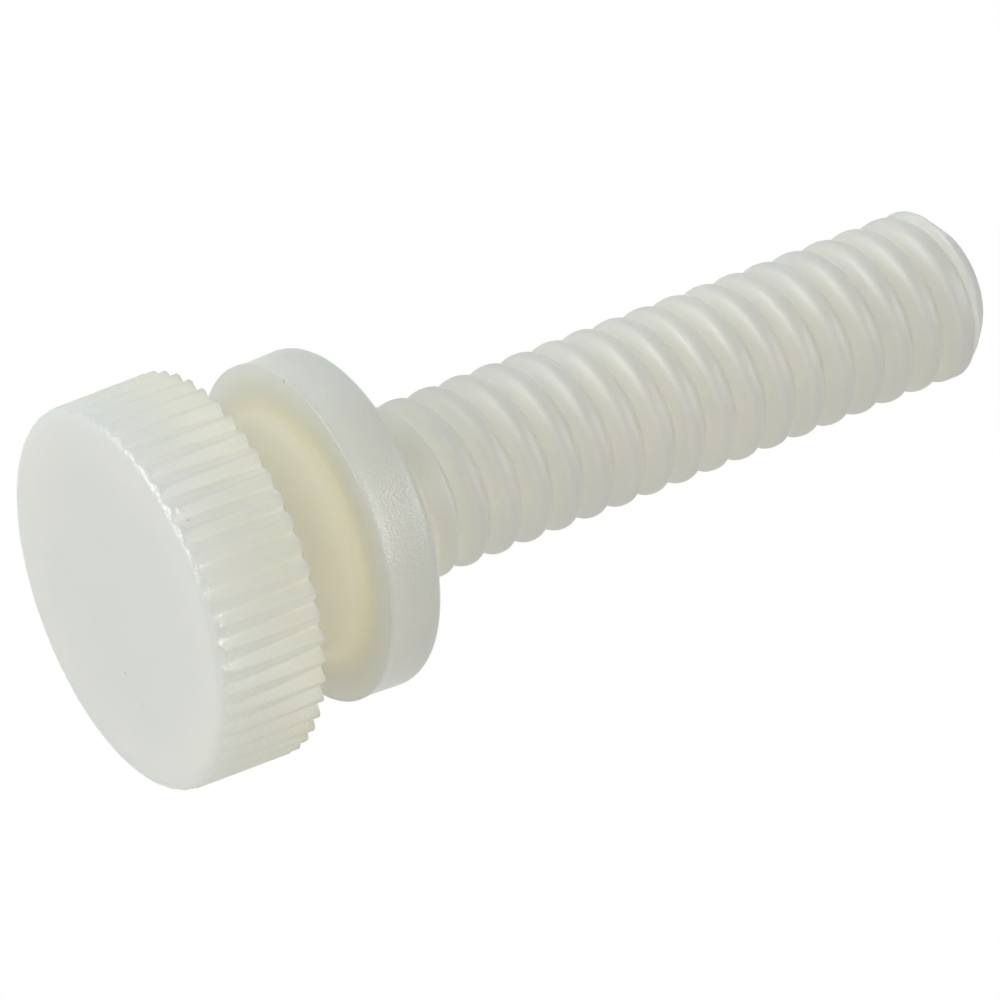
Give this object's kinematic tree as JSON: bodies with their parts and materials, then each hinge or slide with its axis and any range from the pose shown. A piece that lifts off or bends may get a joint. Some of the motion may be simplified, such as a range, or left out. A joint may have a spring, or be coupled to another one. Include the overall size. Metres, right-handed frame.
{
  "type": "knurled thumb screw",
  "caption": "White nylon thumb screw: a knurled head, a neck, a flange and a threaded shank, moulded in one piece.",
  "frame": {"origin": "centre of the head's flat face", "axes": "+Z along the screw's axis, from the head towards the tip; a valley of the thread crosses the +X side 12.1 mm up"},
  "size_m": [0.0136, 0.0136, 0.0342],
  "materials": {
    "nylon": "satin"
  },
  "bodies": {
    "root": {"thumb_screw": "nylon"}
  },
  "joints": []
}
